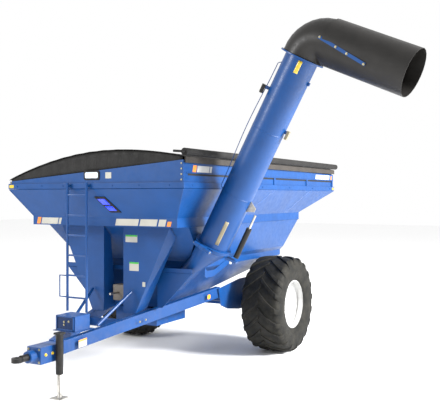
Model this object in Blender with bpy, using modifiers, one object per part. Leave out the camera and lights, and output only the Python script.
"""Single-auger grain cart: hopper on two wheels with a folding corner auger.

World axes: +X is the cart's left (the auger side), +Y points to its rear and +Z is up.
Every length below is in metres, given from the point of the ground under the axle's middle.
The finished model is moved by OFFSET, so that the world origin lies under the middle of its box.
"""
import math

import bmesh
import bpy
from mathutils import Matrix, Vector

for old in list(bpy.data.objects):
    bpy.data.objects.remove(old, do_unlink=True)

# Driving dimensions
GAP = 0.0006
OFFSET = Vector((-1.4943, 1.1815, 0.0))
PLATE = 0.008
AXLE_Z = 0.90
TYRE_HALF = 0.39
LUG_TOP = 0.889
WHEEL_X = 1.644
RIM_R = 0.432
HOPPER_HALF = 1.754
HOPPER_FRONT = -3.543
HOPPER_REAR = 2.780
RIM_LOW = 3.045
RIM_HIGH = 3.133
BELT_HALF = 1.457
LOW_HALF = 1.25
LOW_FRONT = -2.28
LOW_REAR = 0.96
LEG_Y = -2.93
RAIL_H = 0.19
RAIL_W = 0.10
RAIL_SPREAD = 0.26
RAIL_RISE = 0.153
TUBE_R = 0.251
TUBE_BASE = Vector((1.684, -2.547, 2.155))
TUBE_TOP = Vector((3.260, -2.695, 4.949))
SPOUT_CORNER = Vector((3.398, -2.705, 5.186))
SPOUT_END = Vector((4.855, -2.744, 4.521))
SPOUT_R = 0.347
ELBOW_R = 0.30
SUMP_POINT = Vector((0.04, -1.86, 0.90))
HINGE_OUT = 0.36
CYLINDER_SIDE = 0.38
JACK = Vector((0.20, -4.45, 0.0))

UP = (TUBE_TOP - TUBE_BASE).normalized()
TUBE_LENGTH = (TUBE_TOP - TUBE_BASE).length
SIDE = (Vector((1, 0, 0)) - UP * UP.x).normalized()
FORE = UP.cross(SIDE) * -1.0
LOWER_DIR = (TUBE_BASE - SUMP_POINT).normalized()
LOWER_LENGTH = (TUBE_BASE - SUMP_POINT).length
SCREW_LOW_R = 0.104
SPOUT_DIR = (SPOUT_END - SPOUT_CORNER).normalized()
HINGE = TUBE_BASE + FORE * HINGE_OUT

parts = bpy.data.collections.new("grain_cart")
cutters = bpy.data.collections.new("cutters")
bpy.context.scene.collection.children.link(parts)
bpy.context.scene.collection.children.link(cutters)


# Materials
def make_material(name, colour, roughness, metallic=0.0):
    material = bpy.data.materials.new(name)
    material.use_nodes = True
    shader = material.node_tree.nodes["Principled BSDF"]
    shader.inputs["Base Color"].default_value = (*colour, 1.0)
    shader.inputs["Roughness"].default_value = roughness
    shader.inputs["Metallic"].default_value = metallic
    return material


BLUE = make_material("blue_paint", (0.03, 0.16, 0.62), 0.35)
BLACK = make_material("black_plastic", (0.03, 0.03, 0.03), 0.4)
BLACK_STEEL = make_material("black_steel", (0.02, 0.02, 0.02), 0.35)
STEEL = make_material("bright_steel", (0.7, 0.68, 0.64), 0.3, 1.0)
WHITE = make_material("white_rim", (0.85, 0.85, 0.84), 0.35)
RUBBER = make_material("tyre", (0.025, 0.025, 0.025), 0.8)
CLOTH = make_material("tarp", (0.035, 0.035, 0.033), 0.8)
LAMP = make_material("lamp", (0.9, 0.45, 0.05), 0.3)


# Builders of shapes
def add_object(name, mesh, material, pivot=None, smooth=False):
    if pivot is not None:
        mesh.transform(Matrix.Translation(-pivot))
    mesh.materials.clear()
    mesh.materials.append(material)
    if smooth:
        mesh.shade_smooth()
        mesh.set_sharp_from_angle(angle=math.radians(40))
    piece = bpy.data.objects.new(name, mesh)
    parts.objects.link(piece)
    piece.location = OFFSET + (pivot if pivot is not None else Vector())
    return piece


def mesh_from(builder):
    bm = bmesh.new()
    builder(bm)
    bmesh.ops.recalc_face_normals(bm, faces=bm.faces)
    mesh = bpy.data.meshes.new("shape")
    bm.to_mesh(mesh)
    bm.free()
    return mesh


def box_mesh(low, high):
    low, high = Vector(low), Vector(high)
    size = high - low
    place = Matrix.Translation((low + high) / 2) @ Matrix.Diagonal((*size, 1.0))
    return mesh_from(lambda bm: bmesh.ops.create_cube(bm, size=1.0, matrix=place))


def box(name, low, high, material, pivot=None):
    return add_object(name, box_mesh(low, high), material, pivot)


def evaluated_mesh(holder):
    bpy.context.scene.collection.objects.link(holder)
    bpy.context.view_layer.update()
    graph = bpy.context.evaluated_depsgraph_get()
    mesh = bpy.data.meshes.new_from_object(holder.evaluated_get(graph))
    mesh.transform(holder.matrix_world)
    bpy.data.objects.remove(holder, do_unlink=True)
    bm = bmesh.new()
    bm.from_mesh(mesh)
    bmesh.ops.remove_doubles(bm, verts=bm.verts, dist=0.00005)
    bmesh.ops.recalc_face_normals(bm, faces=bm.faces)
    bm.to_mesh(mesh)
    bm.free()
    return mesh


def axes_matrix(origin, across, along):
    """Frame whose local X is across, local Y is along and local Z is their normal."""
    across = Vector(across).normalized()
    along = Vector(along).normalized()
    normal = across.cross(along)
    turn = Matrix((across, along, normal)).transposed().to_4x4()
    return Matrix.Translation(Vector(origin)) @ turn


def plate_mesh(outline, thickness, origin, across, along):
    """Flat outline in the (across, along) plane, thickened evenly about it."""
    curve = bpy.data.curves.new("outline", "CURVE")
    curve.dimensions = "2D"
    curve.fill_mode = "BOTH"
    curve.extrude = thickness / 2
    spline = curve.splines.new("POLY")
    spline.points.add(len(outline) - 1)
    for point, (a, b) in zip(spline.points, outline):
        point.co = (a, b, 0.0, 1.0)
    spline.use_cyclic_u = True
    holder = bpy.data.objects.new("outline", curve)
    holder.matrix_world = axes_matrix(origin, across, along)
    return evaluated_mesh(holder)


def plate(name, outline, thickness, origin, across, along, material, pivot=None):
    mesh = plate_mesh(outline, thickness, origin, across, along)
    return add_object(name, mesh, material, pivot)


def rod_mesh(points, radius, resolution=2):
    curve = bpy.data.curves.new("rod", "CURVE")
    curve.dimensions = "3D"
    curve.bevel_depth = radius
    curve.bevel_resolution = resolution
    curve.use_fill_caps = True
    spline = curve.splines.new("POLY")
    spline.points.add(len(points) - 1)
    for point, place in zip(spline.points, points):
        point.co = (*place, 1.0)
    return evaluated_mesh(bpy.data.objects.new("rod", curve))


def rod(name, points, radius, material, pivot=None, resolution=2):
    return add_object(name, rod_mesh(points, radius, resolution), material, pivot, smooth=True)


def turned_mesh(profile, origin, direction, steps=32):
    """Closed (radius, height) profile turned about the line from origin along direction."""
    outline = bpy.data.meshes.new("profile")
    count = len(profile)
    edges = [(i, (i + 1) % count) for i in range(count)]
    outline.from_pydata([(r, 0.0, h) for r, h in profile], edges, [])
    holder = bpy.data.objects.new("turned", outline)
    screw = holder.modifiers.new("turn", "SCREW")
    screw.axis = "Z"
    screw.steps = steps
    screw.render_steps = steps
    screw.use_merge_vertices = True
    screw.merge_threshold = 0.00005
    turn = Vector(direction).normalized().to_track_quat("Z", "Y").to_matrix().to_4x4()
    holder.matrix_world = Matrix.Translation(Vector(origin)) @ turn
    return evaluated_mesh(holder)


def turned(name, profile, origin, direction, material, steps=32, pivot=None):
    mesh = turned_mesh(profile, origin, direction, steps)
    return add_object(name, mesh, material, pivot, smooth=True)


def ring_profile(inner, outer, low, high):
    return [(outer, high), (outer, low), (inner, low), (inner, high)]


def disc_mesh(radius, low, high, origin, direction, steps=24):
    length = high - low
    turn = Vector(direction).normalized().to_track_quat("Z", "Y").to_matrix().to_4x4()
    middle = Vector(origin) + Vector(direction).normalized() * (low + high) / 2
    place = Matrix.Translation(middle) @ turn
    return mesh_from(lambda bm: bmesh.ops.create_cone(
        bm, cap_ends=True, segments=steps, radius1=radius, radius2=radius, depth=length,
        matrix=place))


def disc(name, radius, low, high, origin, direction, material, steps=24, pivot=None):
    mesh = disc_mesh(radius, low, high, origin, direction, steps)
    return add_object(name, mesh, material, pivot, smooth=True)


def loft_mesh(rings, closed=True, caps=False):
    """Skin over rings of equal point counts."""
    def build(bm):
        rows = [[bm.verts.new(p) for p in ring] for ring in rings]
        count = len(rings[0])
        for low, high in zip(rows, rows[1:]):
            for i in range(count if closed else count - 1):
                j = (i + 1) % count
                bm.faces.new((low[i], low[j], high[j], high[i]))
        if caps:
            bm.faces.new(rows[0][::-1])
            bm.faces.new(rows[-1])
    return mesh_from(build)


def shell(name, mesh, thickness, material, offset=-1.0, pivot=None, smooth=False):
    piece = add_object(name, mesh, material, pivot, smooth)
    wall = piece.modifiers.new("wall", "SOLIDIFY")
    wall.thickness = thickness
    wall.offset = offset
    wall.use_even_offset = True
    return piece


def circle_points(centre, direction, radius, count=24):
    turn = Vector(direction).normalized().to_track_quat("Z", "Y").to_matrix()
    angles = [2 * math.pi * i / count for i in range(count)]
    return [Vector(centre) + turn @ Vector((radius * math.cos(a), radius * math.sin(a), 0))
            for a in angles]


def helix_blade(name, origin, direction, inner, outer, length, pitch, pivot):
    """Thin screw blade wound round a shaft."""
    steps_per_turn = 10
    turns = max(1, round(length / pitch))
    turn = Vector(direction).normalized().to_track_quat("Z", "Y").to_matrix()
    rings = []
    for i in range(turns * steps_per_turn + 1):
        angle = 2 * math.pi * i / steps_per_turn
        height = length * i / (turns * steps_per_turn)
        arm = Vector((math.cos(angle), math.sin(angle), 0))
        lift = Vector((0, 0, height))
        rings.append([origin + turn @ (arm * inner + lift), origin + turn @ (arm * outer + lift)])
    return shell(name, loft_mesh(rings, closed=False), 0.006, STEEL, 0.0, pivot)


def make_cutter(name, mesh):
    cutter = bpy.data.objects.new(name, mesh)
    cutters.objects.link(cutter)
    cutter.location = OFFSET
    cutter.hide_render = True
    cutter.display_type = "WIRE"
    return cutter


def cut(piece, cutter):
    hole = piece.modifiers.new("cut", "BOOLEAN")
    hole.operation = "DIFFERENCE"
    hole.object = cutter


def merged(meshes):
    """One mesh that holds several separate solids."""
    bm = bmesh.new()
    for mesh in meshes:
        bm.from_mesh(mesh)
    whole = bpy.data.meshes.new("merged")
    bm.to_mesh(whole)
    bm.free()
    return whole


def welded(name, meshes, material, pivot=None, smooth=False):
    """Overlapping solids made one body."""
    piece = add_object(name, meshes[0], material, None, smooth)
    for index, mesh in enumerate(meshes[1:]):
        tool = make_cutter(f"{name}_weld_{index}", mesh)
        weld = piece.modifiers.new("weld", "BOOLEAN")
        weld.operation = "UNION"
        weld.object = tool
    bpy.context.view_layer.update()
    graph = bpy.context.evaluated_depsgraph_get()
    mesh = bpy.data.meshes.new_from_object(piece.evaluated_get(graph))
    bpy.data.objects.remove(piece, do_unlink=True)
    for index in range(len(meshes) - 1):
        bpy.data.objects.remove(bpy.data.objects[f"{name}_weld_{index}"], do_unlink=True)
    return add_object(name, mesh, material, pivot, smooth)


# Hopper
def rectangle(half, front, rear, z, left=None):
    right = -half if left is None else left
    return [Vector((half, front, z)), Vector((half, rear, z)), Vector((right, rear, z)),
            Vector((right, front, z))]


def hopper_body():
    rings = [
        rectangle(0.50, -2.40, -1.50, 1.06, left=-0.35),
        rectangle(LOW_HALF, LOW_FRONT, LOW_REAR, 1.735),
        rectangle(LOW_HALF, LOW_FRONT, LOW_REAR, 1.84),
        rectangle(1.31, -2.36, 0.99, 1.91),
        rectangle(1.44, -2.90, 1.44, 2.440),
        rectangle(BELT_HALF, -3.26, 1.454, 2.446),
        rectangle(BELT_HALF, -3.26, 1.454, 2.589),
        rectangle(HOPPER_HALF - 0.006, HOPPER_FRONT + 0.006, HOPPER_REAR - 0.006, RIM_LOW - 0.010),
    ]
    piece = shell("hopper_shell", loft_mesh(rings), PLATE, BLUE)
    start = SUMP_POINT + LOWER_DIR * 0.95
    bend = SUMP_POINT + LOWER_DIR * 1.62
    path = [
        circle_points(start - LOWER_DIR * 0.02, LOWER_DIR, 0.147, 24),
        circle_points(bend, LOWER_DIR, 0.155, 24),
        circle_points(TUBE_BASE - UP * 0.06, UP, 0.29, 24),
        circle_points(TUBE_BASE + UP * 0.03, UP, 0.31, 24),
    ]
    cut(piece, make_cutter("boot_opening", loft_mesh(path, caps=True)))


def hopper_top():
    near, far = 3.40, 3.17
    low = RIM_HIGH + GAP

    def ring(inset, use_top):
        half = HOPPER_HALF - 0.02 - inset
        front = HOPPER_FRONT + 0.02 + inset
        rear = HOPPER_REAR - 0.02 - inset
        heights = (3.462, near, far, 3.172) if use_top else (low,) * 4
        corners = ((half, front), (half, rear), (-half, rear), (-half, front))
        return [Vector((x, y, z)) for (x, y), z in zip(corners, heights)]

    rings = [ring(0, False), ring(0, True), ring(0.008, True), ring(0.008, False)]
    rings.append(rings[0])
    mesh = loft_mesh(rings)
    bm = bmesh.new()
    bm.from_mesh(mesh)
    bmesh.ops.remove_doubles(bm, verts=bm.verts, dist=0.0001)
    bmesh.ops.recalc_face_normals(bm, faces=bm.faces)
    bm.to_mesh(mesh)
    bm.free()
    piece = add_object("hopper_top_wall", mesh, BLUE)
    window = box_mesh((-0.115, HOPPER_FRONT - 0.1, 3.180), (0.185, HOPPER_FRONT + 0.1, 3.268))
    cut(piece, make_cutter("window_opening", window))


def frame_ring(name, half, front, rear, low, high, width, material):
    def ring(inset, z):
        return rectangle(half - inset, front + inset, rear - inset, z)

    rings = [ring(0, low), ring(0, high), ring(width, high), ring(width, low)]
    rings.append(rings[0])
    mesh = loft_mesh(rings)
    bm = bmesh.new()
    bm.from_mesh(mesh)
    bmesh.ops.remove_doubles(bm, verts=bm.verts, dist=0.0001)
    bmesh.ops.recalc_face_normals(bm, faces=bm.faces)
    bm.to_mesh(mesh)
    bm.free()
    return add_object(name, mesh, material)


def tarp_height(x):
    """Height of the arched cover above the ground at sideways place x."""
    share = (x + HOPPER_HALF) / (2 * HOPPER_HALF)
    return 3.195 + 0.31 * share + 0.275 * math.sin(math.pi * share) ** 0.85


def tarp_cover():
    count = 16
    half = HOPPER_HALF - 0.005
    xs = [-half + 2 * half * i / count for i in range(count + 1)]
    outer = [(x, tarp_height(x)) for x in xs]
    inner = [(x, tarp_height(x) - 0.012) for x in reversed(xs)]
    length = HOPPER_REAR - HOPPER_FRONT - 0.02
    middle = (HOPPER_REAR + HOPPER_FRONT) / 2
    plate("tarp_cover", outer + inner, length, (0, middle, 0), (1, 0, 0), (0, 0, 1), CLOTH)
    top = [(x, tarp_height(x) - 0.020) for x in xs[2:-1]]
    base = [(xs[-2], 3.20), (xs[2], 3.20)]
    ends = [plate_mesh(top + base, 0.006, (0, y, 0), (1, 0, 0), (0, 0, 1))
            for y in (HOPPER_FRONT + 0.075, HOPPER_REAR - 0.075)]
    bows = [rod_mesh([Vector((x, y, tarp_height(x) - 0.045)) for x in xs[1:-1]], 0.018)
            for y in (-1.9, -0.4, 1.1)]
    ridge = rod_mesh([Vector((0.2, HOPPER_FRONT + 0.076, tarp_height(0.2) - 0.05)),
                      Vector((0.2, HOPPER_REAR - 0.076, tarp_height(0.2) - 0.05))], 0.022)
    welded("tarp_frame", [ridge] + ends + bows, BLACK_STEEL)


def tarp_roll():
    x, z = 1.775, 3.575
    front, rear = HOPPER_FRONT - 0.02, HOPPER_REAR + 0.02
    axis = Vector((x, front, z))
    roll = disc_mesh(0.056, 0, rear - front, axis, (0, 1, 0), 20)
    crank = [axis + Vector((0, 0.01, 0)), axis + Vector((0, -0.07, 0)),
             axis + Vector((-0.13, -0.09, 0.01))]
    welded("tarp_roll_tube", [roll, rod_mesh(crank, 0.018)], CLOTH, axis, True)
    box("tarp_hem_rail", (HOPPER_HALF - 0.0034, HOPPER_FRONT + 0.03, 3.4165),
        (HOPPER_HALF + 0.016, HOPPER_REAR - 0.03, 3.505), CLOTH)


# Frame
def rail_outer(y):
    return 0.5 + RAIL_SPREAD * (y - LEG_Y)


def rail_bottom(y):
    return 0.81 + RAIL_RISE * (y - LEG_Y)


def drawbar_rails():
    front, rear = -4.30, -1.08
    for side, name in ((1, "drawbar_rail_left"), (-1, "drawbar_rail_right")):
        rings = []
        for y in (front, rear):
            outer, low = rail_outer(y), rail_bottom(y)
            inner = outer - RAIL_W
            rings.append([Vector((side * x, y, z)) for x, z in (
                (outer, low), (outer, low + RAIL_H), (inner, low + RAIL_H), (inner, low))])
        add_object(name, loft_mesh(rings, caps=True), BLUE)


def front_legs():
    for side, name in ((1, "front_leg_left"), (-1, "front_leg_right")):
        bottom = ((0.20, -2.60, 1.064), (0.20, LEG_Y, 1.014), (0.44, LEG_Y, 1.014),
                  (0.44, -2.60, 1.064))
        top = ((0.20, -2.74, 2.262), (0.20, LEG_Y, 2.432), (1.11, LEG_Y, 2.432),
               (1.11, -2.74, 2.262))
        rings = [[Vector((side * x, y, z)) for x, y, z in row] for row in (bottom, top)]
        shell(name, loft_mesh(rings, closed=False), PLATE, BLUE)


def bulkhead():
    y = -2.56
    box("bulkhead_beam", (-1.30, y - 0.02, 1.682), (1.30, y + 0.005, 1.752), BLUE)
    for side, name in ((1, "bulkhead_pillar_left"), (-1, "bulkhead_pillar_right")):
        bottom = ((0.62, y, 1.085), (0.72, y, 1.085), (0.72, y + 0.04, 1.1))
        top = ((0.62, y, 1.672), (1.29, y, 1.672), (1.29, y + 0.04, 1.672))
        rings = [[Vector((side * x, py, z)) for x, py, z in row] for row in (bottom, top)]
        shell(name, loft_mesh(rings, closed=False), PLATE, BLUE)


def undercarriage():
    outline = [(-1.075, 0.945), (-1.16, 1.258), (-0.35, 1.36), (0.30, 1.36), (0.45, 1.0),
               (0.30, 0.783), (-0.36, 0.783), (-0.82, 0.85)]
    opening = box_mesh((-2, -0.1006, AXLE_Z - 0.1006), (2, 0.1006, AXLE_Z + 0.1006))
    cutter = make_cutter("axle_opening", opening)
    for side, name in ((1, "undercarriage_left"), (-1, "undercarriage_right")):
        cut(plate(name, outline, 0.012, (side * 0.992, 0, 0), (0, 1, 0), (0, 0, 1), BLUE), cutter)
    beam = box_mesh((-1.20, -0.10, AXLE_Z - 0.10), (1.20, 0.10, AXLE_Z + 0.10))
    spindle = disc_mesh(0.045, -1.66, 1.66, (0, 0, AXLE_Z), (1, 0, 0), 24)
    welded("axle_beam", [beam, spindle], BLUE, smooth=True)


def drawbar_nose():
    collar = turned_mesh(ring_profile(0.052, 0.085, 0.0, 0.14), (0, -4.891, 0.655), (0, 1, 0), 24)
    welded("drawbar_nose", [box_mesh((-0.13, -4.76, 0.535), (0.13, -4.3006, 0.775)), collar], BLUE)
    welded("deck_box", [box_mesh((-0.20, -4.09, 0.892), (0.18, -3.745, 1.12)),
                        box_mesh((-0.235, -4.12, 0.886), (0.235, -3.70, 0.896))], BLUE)
    box("cross_member", (-0.335, -3.14, 0.80), (0.335, -3.04, 0.93), BLUE)
    box("gearbox_mount", (-0.19, -2.66, 1.10), (0.19, -2.56, 1.1894), BLUE)
    for side, name in ((1, "leg_brace_left"), (-1, "leg_brace_right")):
        ends = (Vector((side * 0.40, -2.968, 1.385)), Vector((side * 0.262, -3.67, 0.932)))
        rod(name, ends, 0.026, BLUE)


def sump():
    low, high = (-0.35, -2.40, 0.74), (0.50, -1.50, 1.03)
    inner = box_mesh((-0.342, -2.392, 0.748), (0.492, -1.508, 1.2))
    door = box_mesh((-0.22, -2.25, 0.60), (0.37, -1.65, 0.80))
    piece = box("sump", low, high, BLUE)
    cut(piece, make_cutter("sump_hollow", inner))
    cut(piece, make_cutter("sump_doorway", door))
    pivot = Vector((-0.27, -1.95, 0.736))
    box("clean_out_door", (-0.27, -2.30, 0.7324), (0.42, -1.60, 0.7394), BLUE, pivot)
    gate_rod = rod_mesh(((0.07, -1.48, 1.043), (0.07, -0.86, 1.043)), 0.014)
    welded("flow_gate", [box_mesh((-0.34, -1.74, 1.034), (0.49, -1.46, 1.050)), gate_rod], STEEL)
    turned("gate_cylinder", ring_profile(0.0165, 0.032, 0, 0.52), (0.07, -1.00, 1.043), (0, 1, 0),
           BLACK_STEEL, 16)
    box("gate_cylinder_bracket", (-0.985, -0.995, 0.96), (0.985, -0.945, 1.008), BLUE)


def ladder():
    rails = [rod_mesh((Vector((x, -3.60, 1.10)), Vector((x, -3.60, 3.14))), 0.021)
             for x in (-0.40, -0.01)]
    rungs = [rod_mesh((Vector((-0.40, -3.60, z)), Vector((-0.01, -3.60, z))), 0.015)
             for z in (1.316, 1.667, 1.987, 2.306, 2.625, 2.945)]
    feet = [box_mesh((x - 0.02, -3.60, 3.07), (x + 0.02, HOPPER_FRONT - GAP, 3.11))
            for x in (-0.40, -0.01)]
    rack = [Vector((x, -3.60, z)) for x, z in (
        (-0.40, 1.66), (-0.56, 1.66), (-0.56, 1.32), (-0.40, 1.32))]
    welded("ladder", rails + rungs + feet + [rod_mesh(rack, 0.012)], BLUE)


# Wheels
def wheel(side, name):
    centre = Vector((side * WHEEL_X, 0, AXLE_Z))
    out = (side, 0, 0)
    tyre = [(0.455, 0.33), (0.60, TYRE_HALF), (0.79, TYRE_HALF - 0.02), (0.854, 0.28),
            (0.870, 0.0), (0.854, -0.28), (0.79, -TYRE_HALF + 0.02), (0.60, -TYRE_HALF),
            (0.455, -0.33), (0.449, 0.0)]
    lugs = []
    count = 22
    for i in range(count):
        for half in (1, -1):
            angle = 2 * math.pi * (i + (0.5 if half < 0 else 0)) / count
            lug = box_mesh((-0.024, -0.2, 0.84), (0.024, 0.2, LUG_TOP))
            lug.transform(Matrix.Translation((0, half * 0.185, 0)) @ Matrix.Rotation(
                half * -0.62, 4, "Z"))
            lug.transform(Matrix.Rotation(angle, 4, "Y"))
            lug.transform(Matrix.Rotation(math.pi / 2, 4, "Z"))
            lug.transform(Matrix.Translation(centre))
            lugs.append(lug)
    welded(f"tyre_{name}", [turned_mesh(tyre, centre, out, 36), merged(lugs)], RUBBER, centre, True)
    rim = [(RIM_R, 0.33), (0.447, 0.325), (0.447, -0.325), (RIM_R, -0.33), (0.40, -0.31),
           (0.39, 0.02), (0.12, 0.02), (0.12, 0.04), (0.33, 0.05), (0.36, 0.19), (0.415, 0.21)]
    turned(f"rim_{name}", rim, centre, out, WHITE, 36, centre)
    hub = ring_profile(0.046, 0.1194, -0.12, 0.09)
    turned(f"hub_{name}", hub, centre, out, STEEL, 24, centre)


# Auger
def auger_fixed():
    start = SUMP_POINT + LOWER_DIR * 0.95
    bend = SUMP_POINT + LOWER_DIR * 1.62
    top = TUBE_BASE - UP * 0.022
    rings = [circle_points(start, LOWER_DIR, 0.140, 24), circle_points(bend, LOWER_DIR, 0.140, 24),
             circle_points(TUBE_BASE - UP * 0.06, UP, 0.257, 24), circle_points(top, UP, 0.257, 24)]
    shell("auger_boot", loft_mesh(rings), 0.006, BLUE, smooth=True)
    flange = turned_mesh(ring_profile(0.2585, 0.298, -0.021, -0.001), TUBE_BASE, UP, 24)
    pieces = [flange]
    for near, far in ((-0.15, -0.055), (0.055, 0.15)):
        lug = [(near, 0.256), (far, 0.256), (far, 0.337), (near, 0.337)]
        pieces.append(plate_mesh(lug, 0.016, TUBE_BASE - UP * 0.011, SIDE, FORE))
        pieces.append(turned_mesh(ring_profile(0.0185, 0.034, near, far), HINGE, SIDE, 16))
    welded("boot_flange", pieces, BLUE, smooth=True)


def auger_moving():
    lug = [(-0.05, 0.256), (0.05, 0.256), (0.05, 0.337), (-0.05, 0.337)]
    wall = [(TUBE_R - 0.006, TUBE_LENGTH), (0.335, TUBE_LENGTH), (0.335, TUBE_LENGTH - 0.02),
            (TUBE_R, TUBE_LENGTH - 0.02), (TUBE_R, 0.021), (0.298, 0.021), (0.298, 0.001),
            (TUBE_R - 0.006, 0.001)]
    pieces = [
        turned_mesh(wall, TUBE_BASE, UP),
        plate_mesh(lug, 0.016, TUBE_BASE + UP * 0.011, SIDE, FORE),
        turned_mesh(ring_profile(0.0185, 0.034, -0.05, 0.05), HINGE, SIDE, 16),
    ]
    welded("upper_auger_tube", pieces, BLUE, HINGE, True)
    inward = (SPOUT_DIR - UP * SPOUT_DIR.dot(UP)).normalized()
    normal = UP.cross(SPOUT_DIR).normalized()
    crease = TUBE_TOP + UP * 0.004 + inward * (ELBOW_R + 0.02)
    bend = UP.angle(SPOUT_DIR)
    count = 8
    rings = []
    for i in range(count + 1):
        turn = Matrix.Rotation(bend * i / count, 3, normal)
        radius = ELBOW_R + (SPOUT_R - 0.013 - ELBOW_R) * i / count
        out, along = turn @ -inward, turn @ UP
        centre = crease + out * (radius + 0.02)
        rings.append(elbow_ring(centre, out, normal, radius))
    rings.append(elbow_ring(centre + along * 0.08, out, normal, radius))
    shell("spout_elbow", loft_mesh(rings), 0.007, BLACK, pivot=HINGE, smooth=True)
    start = centre + along * 0.02
    length = (SPOUT_END - SPOUT_CORNER).length - (start - SPOUT_CORNER).dot(SPOUT_DIR)
    turned("spout", ring_profile(SPOUT_R - 0.006, SPOUT_R, 0, length), start, SPOUT_DIR, BLACK, 24,
           HINGE)


def elbow_ring(centre, out, normal, radius, count=24):
    angles = [2 * math.pi * k / count for k in range(count)]
    return [centre + out * radius * math.cos(a) + normal * radius * math.sin(a) for a in angles]


def flighting():
    shaft_r = 0.032
    disc("upper_auger_shaft", shaft_r, 0.012, TUBE_LENGTH + 0.05, TUBE_BASE, UP, STEEL, 12,
         TUBE_BASE)
    helix_blade("upper_flighting", TUBE_BASE + UP * 0.06, UP, shaft_r + 0.004, 0.232,
                TUBE_LENGTH - 0.10, 0.46, TUBE_BASE)
    disc("lower_auger_shaft", shaft_r, 0.0, LOWER_LENGTH - 0.10, SUMP_POINT, LOWER_DIR, STEEL, 12,
         SUMP_POINT)
    helix_blade("lower_flighting", SUMP_POINT + LOWER_DIR * 0.07, LOWER_DIR, shaft_r + 0.004, SCREW_LOW_R,
                LOWER_LENGTH - 0.30, 0.27, SUMP_POINT)


def fold_cylinder():
    foot = TUBE_BASE - UP * 0.05 + SIDE * CYLINDER_SIDE - FORE * 0.14
    eye = TUBE_BASE + UP * 0.78 + SIDE * CYLINDER_SIDE - FORE * 0.10
    reach = (eye - foot).normalized()
    length = (eye - foot).length
    turned("fold_cylinder_barrel", ring_profile(0.033, 0.044, 0.03, 0.56), foot, reach,
           BLACK_STEEL, 20, foot)
    rod("fold_cylinder_rod", (foot + reach * 0.05, foot + reach * (length - 0.03)), 0.020, STEEL,
        foot, 3)
    arm = [(0.262, -0.02), (0.43, -0.10), (0.43, -0.18), (0.262, -0.16)]
    plate("fold_cylinder_mount", arm, 0.030, TUBE_BASE - UP * 0.089, SIDE, FORE, BLUE)
    clevis = [(-0.09, 0.0), (0.09, 0.0), (0.03, 0.12), (-0.03, 0.12)]
    place = TUBE_BASE + UP * 0.84 + SIDE * (TUBE_R + 0.001) - FORE * 0.02
    plate("fold_cylinder_clevis", clevis, 0.012, place, UP, SIDE, STEEL, HINGE)


def fold_hinge():
    disc("fold_hinge_pin", 0.018, -0.16, 0.16, HINGE, SIDE, STEEL, 16)


# Hitch, jack and drive
def hitch():
    axis = Vector((0, -4.8916, 0.655))
    shank = disc_mesh(0.050, -0.125, 0.125, axis, (0, 1, 0), 20)
    ring = turned_mesh(ring_profile(0.038, 0.078, -0.03, 0.03), (0, -5.085, 0.655), (0, 0, 1), 24)
    welded("hitch", [shank, ring], BLACK_STEEL, axis, True)


def jack():
    top = 0.93
    tube = turned_mesh(ring_profile(0.040, 0.055, 0.35, top), JACK, (0, 0, 1), 24)
    cap = box_mesh((JACK.x - 0.06, JACK.y - 0.06, top - 0.004),
                   (JACK.x + 0.06, JACK.y + 0.06, top + 0.022))
    welded("jack_tube", [tube, cap], BLACK_STEEL, smooth=True)
    leg = disc_mesh(0.037, 0.006, 0.60, JACK, (0, 0, 1), 24)
    foot = box_mesh((JACK.x - 0.10, JACK.y - 0.10, 0.0), (JACK.x + 0.10, JACK.y + 0.10, 0.012))
    welded("jack_leg", [leg, foot], STEEL, JACK, True)


def drive():
    gear = Vector((0.0, -2.70, 1.32))
    box("gearbox", gear - Vector((0.11, 0.10, 0.13)), gear + Vector((0.11, 0.10, 0.13)), STEEL)
    disc("input_shaft", 0.020, 0, 0.22, (0, -2.8006 - 0.22, 1.32), (0, 1, 0), STEEL, 12,
         Vector((0, -2.8006, 1.32)))


def lamps():
    box("lamp_arm", (0.90, 1.03, 1.90), (0.95, 1.62, 1.94), BLUE)
    box("tail_lamp", (0.88, 1.6206, 1.88), (0.97, 1.66, 1.99), LAMP)


hopper_body()
hopper_top()
frame_ring("rim_rail", HOPPER_HALF, HOPPER_FRONT, HOPPER_REAR, RIM_LOW, RIM_HIGH, 0.05, BLUE)
tarp_cover()
tarp_roll()
drawbar_rails()
front_legs()
bulkhead()
undercarriage()
drawbar_nose()
sump()
ladder()
wheel(1, "left")
wheel(-1, "right")
auger_fixed()
auger_moving()
flighting()
fold_cylinder()
fold_hinge()
hitch()
jack()
drive()
lamps()
